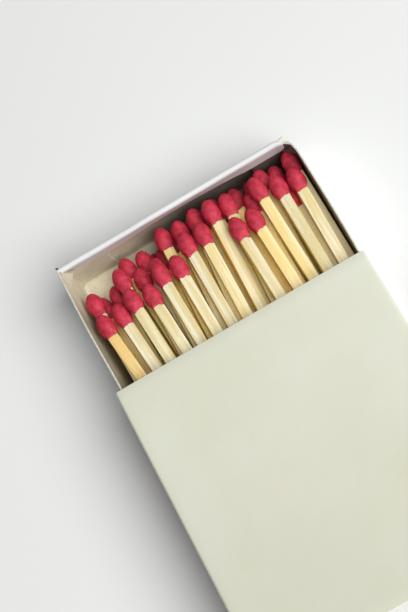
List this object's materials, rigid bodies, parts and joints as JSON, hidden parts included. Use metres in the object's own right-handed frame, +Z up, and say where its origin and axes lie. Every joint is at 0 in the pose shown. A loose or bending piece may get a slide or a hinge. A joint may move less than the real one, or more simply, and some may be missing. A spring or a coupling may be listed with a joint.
{
  "type": "matchbox",
  "caption": "Sliding card matchbox: a folded tray of red-tipped wooden matches, drawn part way out of a plain pale sleeve with striking strips on its narrow sides.",
  "frame": {"origin": "middle of the sleeve's underside, on the table", "axes": "+X the way the tray is drawn out, +Y to the left of the sleeve, +Z up"},
  "size_m": [0.0846, 0.053, 0.0158],
  "materials": {
    "sleeve_card": "smooth coated board, pale greenish cream, matt to satin",
    "tray_card": "uncoated grey-beige board inside, white coated face where it is folded over at the ends",
    "striking_coat": "rough dark red-brown striking coat on card",
    "match": "sawn pale splint with a dipped matt red head"
  },
  "bodies": {
    "sleeve": {"sleeve": "sleeve_card", "striking_strip_left": "striking_coat", "striking_strip_right": "striking_coat"},
    "tray": {"tray": "tray_card", "match_01": "match", "match_02": "match", "match_03": "match", "match_04": "match", "match_05": "match", "match_06": "match", "match_07": "match", "match_08": "match", "match_09": "match", "match_10": "match", "match_11": "match", "match_12": "match", "match_13": "match", "match_14": "match", "match_15": "match", "match_16": "match", "match_17": "match", "match_18": "match", "match_19": "match", "match_20": "match", "match_21": "match", "match_22": "match", "match_23": "match", "match_24": "match", "match_25": "match", "match_26": "match", "match_27": "match", "match_28": "match", "match_29": "match", "match_30": "match", "match_31": "match", "match_32": "match", "match_33": "match", "match_34": "match", "match_35": "match", "match_36": "match", "match_37": "match", "match_38": "match", "match_39": "match", "match_40": "match", "match_41": "match", "match_42": "match", "match_43": "match", "match_44": "match", "match_45": "match", "match_46": "match", "match_47": "match", "match_48": "match", "match_49": "match", "match_50": "match", "match_51": "match", "match_52": "match", "match_53": "match"}
  },
  "joints": [
    {"name": "tray_slide", "type": "slide", "parent": "sleeve", "child": "tray", "axis": [1, 0, 0], "range_m": [-0.0721, 0.0175]}
  ]
}
